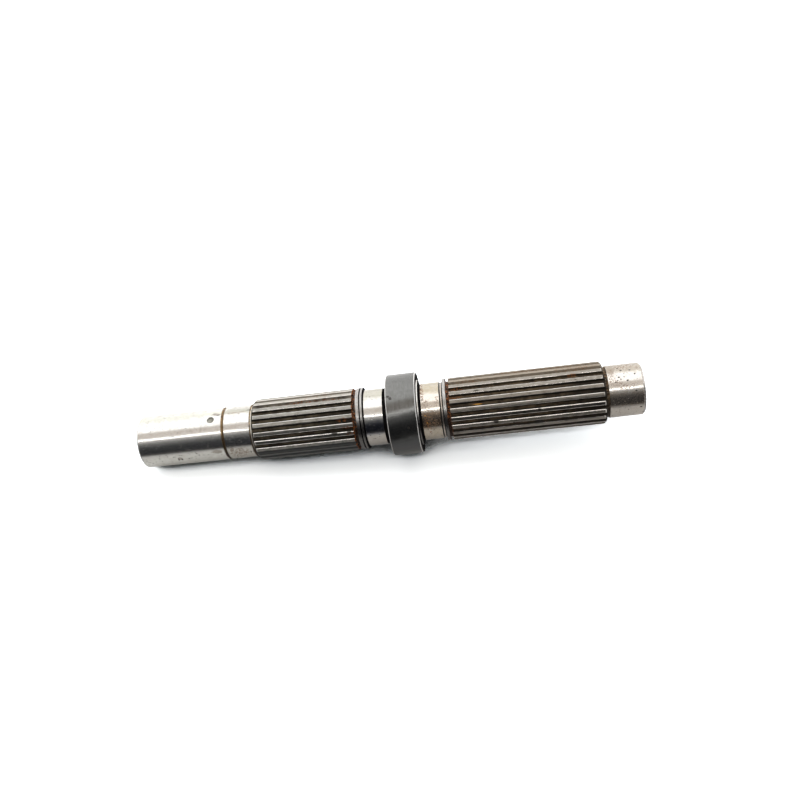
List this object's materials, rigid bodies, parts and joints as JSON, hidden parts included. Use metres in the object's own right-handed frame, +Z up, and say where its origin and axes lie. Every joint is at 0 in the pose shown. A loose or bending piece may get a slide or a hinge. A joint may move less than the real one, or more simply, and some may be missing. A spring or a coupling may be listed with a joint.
{
  "type": "transmission reverse shaft",
  "caption": "Solid steel gear shaft with ground journals at both ends, two splined lengths and a wide collar near its middle.",
  "frame": {"origin": "on the axis at the left end face, which the shaft stands on", "axes": "+Z runs up the axis, from the long left journal at the bottom to the short right journal at the top; -Y is the side that the picture is taken from, with the left end at the picture's left"},
  "size_m": [0.0396, 0.0394, 0.2451],
  "materials": {
    "ground_steel": "polished journals, dull dark splines and collar, brown stains and rust in the grooves"
  },
  "bodies": {
    "root": {"reverse_shaft": "ground_steel"}
  },
  "joints": []
}
